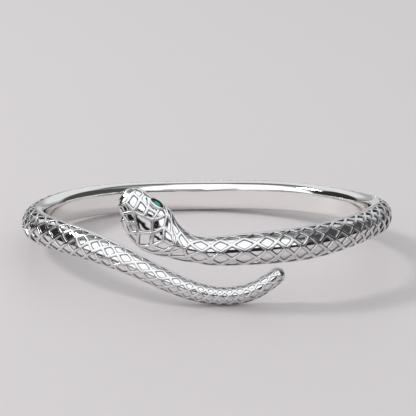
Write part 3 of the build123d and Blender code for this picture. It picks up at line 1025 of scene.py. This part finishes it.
def plug(tree, value, socket):
    """Set a socket to a number, or link another node's output to it."""
    if isinstance(value, (int, float)):
        socket.default_value = value
    else:
        tree.links.new(value, socket)


def math_node(tree, operation, *values):
    """One step of arithmetic on numbers or other nodes' outputs. Gives its output."""
    made = node(tree, "ShaderNodeMath", operation=operation)
    for socket, value in zip(made.inputs, values):
        plug(tree, value, socket)
    return made.outputs[0]


# %% Polishing marks
# Where the noise lies between the two levels, a mark starts and is full.
mark_start = 0.52
mark_full = 0.74
marks, entry, leave = new_group(
    "polishing_marks",
    [
        ("Place", "NodeSocketVector", None),
        ("Fineness", "NodeSocketFloat", 900.0),
        ("Even Roughness", "NodeSocketFloat", 0.05),
        ("Mark Roughness", "NodeSocketFloat", 0.08),
    ],
    [("Roughness", "NodeSocketFloat"), ("Height", "NodeSocketFloat")],
)
hairs = node(marks, "ShaderNodeTexNoise", noise_dimensions="3D")
hairs.inputs["Detail"].default_value = 4.0
hairs.inputs["Distortion"].default_value = 2.5
marks.links.new(entry.outputs["Place"], hairs.inputs["Vector"])
marks.links.new(entry.outputs["Fineness"], hairs.inputs["Scale"])
hair_mask = node(marks, "ShaderNodeMapRange", interpolation_type="SMOOTHSTEP")
hair_mask.inputs["From Min"].default_value = mark_start
hair_mask.inputs["From Max"].default_value = mark_full
marks.links.new(hairs.outputs["Fac"], hair_mask.inputs["Value"])
extra = math_node(marks, "MULTIPLY", hair_mask.outputs["Result"], entry.outputs["Mark Roughness"])
roughness = math_node(marks, "ADD", extra, entry.outputs["Even Roughness"])
marks.links.new(roughness, leave.inputs["Roughness"])
marks.links.new(hair_mask.outputs["Result"], leave.inputs["Height"])

# %% Waviness of a hand-polished casting
waves, entry, leave = new_group(
    "casting_waves",
    [("Place", "NodeSocketVector", None), ("Size", "NodeSocketFloat", 300.0)],
    [("Height", "NodeSocketFloat")],
)
swell_noise = node(waves, "ShaderNodeTexNoise", noise_dimensions="3D")
swell_noise.inputs["Detail"].default_value = 1.5
waves.links.new(entry.outputs["Place"], swell_noise.inputs["Vector"])
waves.links.new(entry.outputs["Size"], swell_noise.inputs["Scale"])
waves.links.new(swell_noise.outputs["Fac"], leave.inputs["Height"])


# %% Silver, for the net and for the inside
mark_height = 0.000001


def add_bump(tree, height, distance, before=None):
    """A normal bent by a height, in metres, on top of another one."""
    bump = node(tree, "ShaderNodeBump")
    bump.inputs["Strength"].default_value = 1.0
    bump.inputs["Distance"].default_value = distance
    tree.links.new(height, bump.inputs["Height"])
    if before is not None:
        tree.links.new(before, bump.inputs["Normal"])
    return bump.outputs["Normal"]


def silver(name, mark_roughness, wave_size, wave_height):
    """A polished silver with its marks and waves, still without its colour."""
    finish = bpy.data.materials.new(name)
    finish.use_nodes = True
    tree = finish.node_tree
    shader = tree.nodes["Principled BSDF"]
    shader.inputs["Metallic"].default_value = 1.0
    place = node(tree, "ShaderNodeTexCoord").outputs["Object"]
    mark = node(tree, "ShaderNodeGroup", node_tree=marks)
    mark.inputs["Mark Roughness"].default_value = mark_roughness
    tree.links.new(place, mark.inputs["Place"])
    tree.links.new(mark.outputs["Roughness"], shader.inputs["Roughness"])
    wave = node(tree, "ShaderNodeGroup", node_tree=waves)
    wave.inputs["Size"].default_value = wave_size
    tree.links.new(place, wave.inputs["Place"])
    normal = add_bump(tree, wave.outputs["Height"], wave_height)
    normal = add_bump(tree, mark.outputs["Height"], mark_height, normal)
    tree.links.new(normal, shader.inputs["Normal"])
    return finish, shader, mark


inside_colour = (0.92, 0.90, 0.885, 1)
inside_roughness = 0.06
inside_silver, shader, mark = silver(
    "inside_silver",
    mark_roughness=0.03,
    wave_size=90.0,
    wave_height=0.00006,
)
shader.inputs["Base Color"].default_value = inside_colour
mark.inputs["Even Roughness"].default_value = inside_roughness
print("nodes of the inside's silver", len(inside_silver.node_tree.nodes))

# %% [markdown]
# In the net the silver isn't the same all over. The tops of the ribs are rubbed and a little
# cooler and duller, the walls are painted nearly black, which is painted shade in the deep walls
# and in part the black that is left when such a casting is darkened and polished again, and the
# floors are mirrors. Each point of the mesh already knows how deep it lies, so one number drives
# both the colour with its painted shade and the roughness. Painting by hand could do it too, but
# the number follows every cell by itself.

# %% The net's silver
rib_colour = (0.76, 0.76, 0.77, 1)
# The walls are painted nearly black: painted shade in the deep walls, and in part the oxide of a
# darkened casting.
wall_shade_and_oxide = (0.14, 0.135, 0.135, 1)
floor_colour = (0.88, 0.855, 0.84, 1)
# Columns: how deep the point lies, colour.
NET_COLOURS_AND_SHADE = [
    (0.12, rib_colour),
    (0.40, wall_shade_and_oxide),
    (0.90, wall_shade_and_oxide),
    (1.0, floor_colour),
]
rib_roughness = 0.19
floor_roughness = 0.03
# From the first depth to the second, the roughness falls from the ribs' to the floors'.
roughness_depths = (0.1, 0.8)
net_silver, shader, mark = silver(
    "net_silver",
    mark_roughness=0.02,
    wave_size=420.0,
    wave_height=0.00002,
)
tree = net_silver.node_tree
hollow = node(tree, "ShaderNodeAttribute", attribute_name="hollow").outputs["Fac"]
colours = node(tree, "ShaderNodeValToRGB")
stops = colours.color_ramp.elements
stops[0].position, stops[0].color = NET_COLOURS_AND_SHADE[0]
stops[1].position, stops[1].color = NET_COLOURS_AND_SHADE[-1]
for position, colour in NET_COLOURS_AND_SHADE[1:-1]:
    stops.new(position).color = colour
tree.links.new(hollow, colours.inputs["Fac"])
tree.links.new(colours.outputs["Color"], shader.inputs["Base Color"])
evenness = node(tree, "ShaderNodeMapRange")
evenness.inputs["From Min"].default_value = roughness_depths[0]
evenness.inputs["From Max"].default_value = roughness_depths[1]
evenness.inputs["To Min"].default_value = rib_roughness
evenness.inputs["To Max"].default_value = floor_roughness
tree.links.new(hollow, evenness.inputs["Value"])
tree.links.new(evenness.outputs["Result"], mark.inputs["Even Roughness"])
print("stops of the net's colours", [round(stop.position, 2) for stop in stops])
snake_piece.data.materials.append(net_silver)
snake_piece.data.materials.append(inside_silver)

# %% [markdown]
# The stones are clear green. Glass bends what lies behind them into each facet, so some facets
# look light and others nearly black, as in the real ones. Green paint under a clear coat would
# be quicker to render, but it has no depth. A faint cloud keeps the green from being the same
# all through.

# %% Green stone
deep_green = (0.0, 0.30, 0.25, 1)
light_green = (0.01, 0.62, 0.52, 1)
cloud_size = 1500.0
green = bpy.data.materials.new("green_stone")
green.use_nodes = True
tree = green.node_tree
shader = tree.nodes["Principled BSDF"]
shader.inputs["Transmission Weight"].default_value = 1.0
shader.inputs["IOR"].default_value = 1.57
place = node(tree, "ShaderNodeTexCoord").outputs["Object"]
mark = node(tree, "ShaderNodeGroup", node_tree=marks)
mark.inputs["Even Roughness"].default_value = 0.01
mark.inputs["Mark Roughness"].default_value = 0.02
tree.links.new(place, mark.inputs["Place"])
tree.links.new(mark.outputs["Roughness"], shader.inputs["Roughness"])
cloud = node(tree, "ShaderNodeGroup", node_tree=waves)
cloud.inputs["Size"].default_value = cloud_size
tree.links.new(place, cloud.inputs["Place"])
tints = node(tree, "ShaderNodeMix", data_type="RGBA")
tints.inputs["A"].default_value = deep_green
tints.inputs["B"].default_value = light_green
tree.links.new(cloud.outputs["Height"], tints.inputs["Factor"])
tree.links.new(tints.outputs["Result"], shader.inputs["Base Color"])
for stone in stones:
    stone.data.materials.append(green)
print("nodes of the green", len(tree.nodes))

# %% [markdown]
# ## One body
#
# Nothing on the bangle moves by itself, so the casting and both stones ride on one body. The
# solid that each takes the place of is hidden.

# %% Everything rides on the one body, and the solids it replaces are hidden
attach(snake_piece, "root")
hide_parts("snake_cuff")
for stone, solid in zip(stones, ("right_eye_stone", "left_eye_stone")):
    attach(stone, "root")
    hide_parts(solid)
print("pieces", [piece.name for piece in (snake_piece, *stones)])

# %% [markdown]
# ## Floor, camera and light
#
# The floor is plain, pale and slightly pink, and to the camera it has no edge. Polished silver
# mirrors the floor far out as well, though, and the real one mirrors darker things there. So the
# floor is dark past the edges of a sheet of paper, pale again on a second sheet and dark on a
# card, but only for mirrored rays. Real cards could lie there instead, but the camera would see
# them too.

# %% Floor
half_floor = 3.0
paper_colour = (0.79, 0.74, 0.742, 1)
floor_corners = [(x * half_floor, y * half_floor, 0) for x, y in ((-1, -1), (1, -1), (1, 1), (-1, 1))]
floor_mesh = bpy.data.meshes.new("floor")
floor_mesh.from_pydata(floor_corners, [], [(0, 1, 2, 3)])
floor = bpy.data.objects.new("floor", floor_mesh)
bpy.context.scene.collection.objects.link(floor)
paper = bpy.data.materials.new("pale_floor")
paper.use_nodes = True
paper_tree = paper.node_tree
paper_shader = paper_tree.nodes["Principled BSDF"]
paper_shader.inputs["Base Color"].default_value = paper_colour
paper_shader.inputs["Roughness"].default_value = 0.5
floor_mesh.materials.append(paper)
floor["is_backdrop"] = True
print("floor", 2 * half_floor, "m wide")

# %% Where the mirrored floor is dark
# Edges in metres. The paper ends at the left, at the right and in front. The second sheet lies in
# front at the left, and the card at the left, round a middle.
paper_left = -0.075
paper_right = 0.087
paper_front = -0.086
pale_side = -0.052
pale_front = -0.118
card_side = -0.036
card_middle = -0.056
card_half = 0.016


def floor_math(operation, *values):
    """One step of arithmetic in the floor's own tree."""
    return math_node(paper_tree, operation, *values)


floor_place = node(paper_tree, "ShaderNodeTexCoord").outputs["Object"]
floor_parts = node(paper_tree, "ShaderNodeSeparateXYZ")
paper_tree.links.new(floor_place, floor_parts.inputs["Vector"])
floor_x = floor_parts.outputs["X"]
floor_y = floor_parts.outputs["Y"]
past_left = floor_math("SUBTRACT", paper_left, floor_x)
past_right = floor_math("SUBTRACT", floor_x, paper_right)
past_front = floor_math("SUBTRACT", paper_front, floor_y)
off_paper = floor_math("MAXIMUM", floor_math("MAXIMUM", past_left, past_right), past_front)
off_side = floor_math("SUBTRACT", floor_x, pale_side)
off_front = floor_math("SUBTRACT", floor_y, pale_front)
off_both = floor_math("MINIMUM", off_paper, floor_math("MAXIMUM", off_side, off_front))
on_side = floor_math("SUBTRACT", card_side, floor_x)
from_card = floor_math("ABSOLUTE", floor_math("SUBTRACT", floor_y, card_middle))
on_card = floor_math("MINIMUM", on_side, floor_math("SUBTRACT", card_half, from_card))
in_dark = floor_math("MAXIMUM", off_both, on_card)
print("mirrored paper", round((paper_right - paper_left) / MM), "mm wide")

# %% Only mirrored rays see it
paper_fade = 0.004
# Painted reflection: where the paper ends and on the card, the floor turns nearly black for mirrored
# rays only, so the silver shows a dark there that the camera never sees.
reflected_dark_colour = (0.02, 0.02, 0.02, 1)
past_edge = node(paper_tree, "ShaderNodeMapRange", interpolation_type="SMOOTHSTEP")
past_edge.inputs["From Min"].default_value = -paper_fade
past_edge.inputs["From Max"].default_value = paper_fade
paper_tree.links.new(in_dark, past_edge.inputs["Value"])
mirrored = node(paper_tree, "ShaderNodeLightPath").outputs["Is Glossy Ray"]
dark_share = floor_math("MULTIPLY", past_edge.outputs["Result"], mirrored)
painted_dark_reflection = node(paper_tree, "ShaderNodeBsdfDiffuse")
painted_dark_reflection.inputs["Color"].default_value = reflected_dark_colour
reflection_mix = node(paper_tree, "ShaderNodeMixShader")
paper_tree.links.new(dark_share, reflection_mix.inputs["Fac"])
paper_tree.links.new(paper_shader.outputs["BSDF"], reflection_mix.inputs[1])
paper_tree.links.new(painted_dark_reflection.outputs["BSDF"], reflection_mix.inputs[2])
paper_tree.links.new(reflection_mix.outputs["Shader"], paper_tree.nodes["Material Output"].inputs["Surface"])
print("nodes of the floor", len(paper_tree.nodes))

# %% [markdown]
# The camera is long and looks down a little, and it is turned with the bangle's lean, so that
# the bangle sits in the frame as in the photograph.

# %% Camera
# Place in millimetres of the snake's own frame, angles in degrees, lens in millimetres.
camera_place = Vector((0.0, -379.3, 126.9))
camera_down = 17.33
camera_yaw = -0.0256
camera_lens = 193.85
yaw_turn = Matrix.Rotation(math.radians(camera_yaw), 4, "Z")
camera_turn = yaw_turn @ Matrix.Rotation(math.radians(90 - camera_down), 4, "X")
seen_from = laid_down @ Matrix.Translation(camera_place) @ camera_turn
camera = bpy.data.objects.new("camera", bpy.data.cameras.new("camera"))
camera.data.lens = camera_lens
camera.data.sensor_width = 36.0
camera.data.clip_start = 0.01
seen_from.translation = seen_from.translation * MM
camera.matrix_world = seen_from
bpy.context.scene.collection.objects.link(camera)
bpy.context.scene.camera = camera
print("camera in mm", [round(value / MM, 1) for value in seen_from.translation])

# %% [markdown]
# Polished silver shows hardly anything of its own, so what stands round it does the work. The
# cells are bright where they face the pale screen in front and black where they face the dark
# sides of the room. Each of those is a soft-edged patch of sky, told by its bearing (0 is in
# front, positive to the right) and its height above the horizon. An image of a studio would do
# the same, but patches can be moved one by one until each cell looks right.

# %% Where a direction points
sky_angles, entry, leave = new_group(
    "sky_angles",
    [("Direction", "NodeSocketVector", None)],
    [("Bearing", "NodeSocketFloat"), ("Height", "NodeSocketFloat")],
)
parts = node(sky_angles, "ShaderNodeSeparateXYZ")
sky_angles.links.new(entry.outputs["Direction"], parts.inputs["Vector"])
backwards = math_node(sky_angles, "MULTIPLY", parts.outputs["Y"], -1.0)
turn = math_node(sky_angles, "ARCTAN2", parts.outputs["X"], backwards)
lift = math_node(sky_angles, "ARCSINE", parts.outputs["Z"])
for angle, label in ((turn, "Bearing"), (lift, "Height")):
    degrees = math_node(sky_angles, "MULTIPLY", angle, math.degrees(1.0))
    sky_angles.links.new(degrees, leave.inputs[label])

# %% A patch of sky
sky_patch, entry, leave = new_group(
    "sky_patch",
    [
        ("Bearing", "NodeSocketFloat", 0.0),
        ("Height", "NodeSocketFloat", 0.0),
        ("Middle", "NodeSocketFloat", 0.0),
        ("Half Width", "NodeSocketFloat", 30.0),
        ("Low", "NodeSocketFloat", 0.0),
        ("High", "NodeSocketFloat", 30.0),
        ("Softness", "NodeSocketFloat", 4.0),
    ],
    [("Mask", "NodeSocketFloat")],
)


def soft_step(tree, value, edge, softness):
    """0 below an edge and 1 above it, over a width."""
    above = math_node(tree, "SUBTRACT", value, edge)
    ramp = node(tree, "ShaderNodeMapRange", interpolation_type="SMOOTHSTEP")
    tree.links.new(above, ramp.inputs["Value"])
    tree.links.new(math_node(tree, "MULTIPLY", softness, -0.5), ramp.inputs["From Min"])
    tree.links.new(math_node(tree, "MULTIPLY", softness, 0.5), ramp.inputs["From Max"])
    return ramp.outputs["Result"]


off_middle = math_node(sky_patch, "SUBTRACT", entry.outputs["Bearing"], entry.outputs["Middle"])
aside = math_node(sky_patch, "WRAP", off_middle, 180.0, -180.0)
distance = math_node(sky_patch, "ABSOLUTE", aside)
softness = entry.outputs["Softness"]
across = soft_step(sky_patch, entry.outputs["Half Width"], distance, softness)
above_low = soft_step(sky_patch, entry.outputs["Height"], entry.outputs["Low"], softness)
below_high = soft_step(sky_patch, entry.outputs["High"], entry.outputs["Height"], softness)
between = math_node(sky_patch, "MULTIPLY", above_low, below_high)
mask = math_node(sky_patch, "MULTIPLY", across, between)
sky_patch.links.new(mask, leave.inputs["Mask"])

# %% The studio round the bangle
# Columns: bearing of the middle, half width, low edge, high edge, softness, brightness. Each patch
# is laid over the ones before it.
PATCH_LABELS = ("Middle", "Half Width", "Low", "High", "Softness")
SKY_PATCHES = {
    "overhead": (0, 200, 76, 95, 6, 0.95),
    "bright_back": (180, 60, 10, 50, 10, 0.80),
    "dark_back": (180, 80, 50, 76, 6, 0.17),
    "front_screen": (-9, 67, -5, 95, 6, 1.3),
    "dark_left": (-105, 29, -5, 38, 8, 0.03),
    "dark_right": (90, 34, -5, 48, 12, 0.07),
    "dark_front_rim": (25, 50, -5, 5, 2, 0.02),
    "dark_left_rim": (-42, 18, -5, 3, 2, 0.02),
    "dark_middle_rim": (16, 14, -5, 13, 3, 0.02),
    "dark_right_rim": (52, 23, -5, 8, 3, 0.02),
}
room_level = 0.42
world = bpy.data.worlds.new("studio")
bpy.context.scene.world = world
world.use_nodes = True
sky = world.node_tree
direction = node(sky, "ShaderNodeTexCoord").outputs["Generated"]
angles = node(sky, "ShaderNodeGroup", node_tree=sky_angles)
sky.links.new(direction, angles.inputs["Direction"])
level = room_level
for name, (*values, brightness) in SKY_PATCHES.items():
    patch = node(sky, "ShaderNodeGroup", node_tree=sky_patch, name=name)
    for label, value in zip(PATCH_LABELS, values):
        patch.inputs[label].default_value = value
    sky.links.new(angles.outputs["Bearing"], patch.inputs["Bearing"])
    sky.links.new(angles.outputs["Height"], patch.inputs["Height"])
    mix = node(sky, "ShaderNodeMix", data_type="FLOAT")
    mix.inputs["B"].default_value = brightness
    plug(sky, level, mix.inputs["A"])
    sky.links.new(patch.outputs["Mask"], mix.inputs["Factor"])
    level = mix.outputs["Result"]
print("patches of sky", len(SKY_PATCHES))

# %% [markdown]
# Only mirrored rays see the patches. The floor is lit by an even sky of the same tint, and the
# camera sees a plain backdrop, so the studio can be changed for the silver alone.

# %% Who sees which sky
even_level = 0.68
room_tint = (0.955, 0.98, 1.0)
backdrop_colour = (0.62, 0.58, 0.57)
room_light = sky.nodes["Background"]
room_light.inputs["Color"].default_value = (*room_tint, 1)
sky.links.new(level, room_light.inputs["Strength"])
even_light = node(sky, "ShaderNodeBackground")
even_light.inputs["Color"].default_value = (*room_tint, 1)
even_light.inputs["Strength"].default_value = even_level
backdrop = node(sky, "ShaderNodeBackground")
backdrop.inputs["Color"].default_value = (*backdrop_colour, 1)
ray = node(sky, "ShaderNodeLightPath")
by_mirror = node(sky, "ShaderNodeMixShader")
sky.links.new(ray.outputs["Is Glossy Ray"], by_mirror.inputs["Fac"])
sky.links.new(even_light.outputs["Background"], by_mirror.inputs[1])
sky.links.new(room_light.outputs["Background"], by_mirror.inputs[2])
seen = node(sky, "ShaderNodeMixShader")
sky.links.new(ray.outputs["Is Camera Ray"], seen.inputs["Fac"])
sky.links.new(by_mirror.outputs["Shader"], seen.inputs[1])
sky.links.new(backdrop.outputs["Background"], seen.inputs[2])
sky.links.new(seen.outputs["Shader"], sky.nodes["World Output"].inputs["Surface"])
print("nodes of the sky", len(sky.nodes))

# %% [markdown]
# One soft lamp stands high at the left. The even sky alone would leave the bangle nearly without
# a shadow, and a point lamp would give it a harder edge than the photograph has.

# %% The lamp from the left
# Place and size in metres, power in watts. It faces the middle of the bangle on the floor.
lamp_place = Vector((-0.55, 0.05, 0.48))
lamp_size = 0.16
lamp_power = 1.6
softbox = bpy.data.lights.new("key_softbox", "AREA")
softbox.shape = "SQUARE"
softbox.size = lamp_size
softbox.energy = lamp_power
lamp = bpy.data.objects.new("key_softbox", softbox)
lamp.location = lamp_place
lamp.rotation_euler = (-lamp_place).to_track_quat("-Z", "Y").to_euler()
bpy.context.scene.collection.objects.link(lamp)
print("lamp", round(lamp_place.length, 2), "m away")
# No film curve, so that the pale floor keeps its tone.
bpy.context.scene.view_settings.view_transform = "Standard"

# %% How far the dressed bangle reaches past the solids' box
dressed_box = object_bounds()
past = [round((a - b) / MM, 3) for a, b in zip(dressed_box[1], solid_box[1])]
print("past the solids' highest corner by", past, "mm")
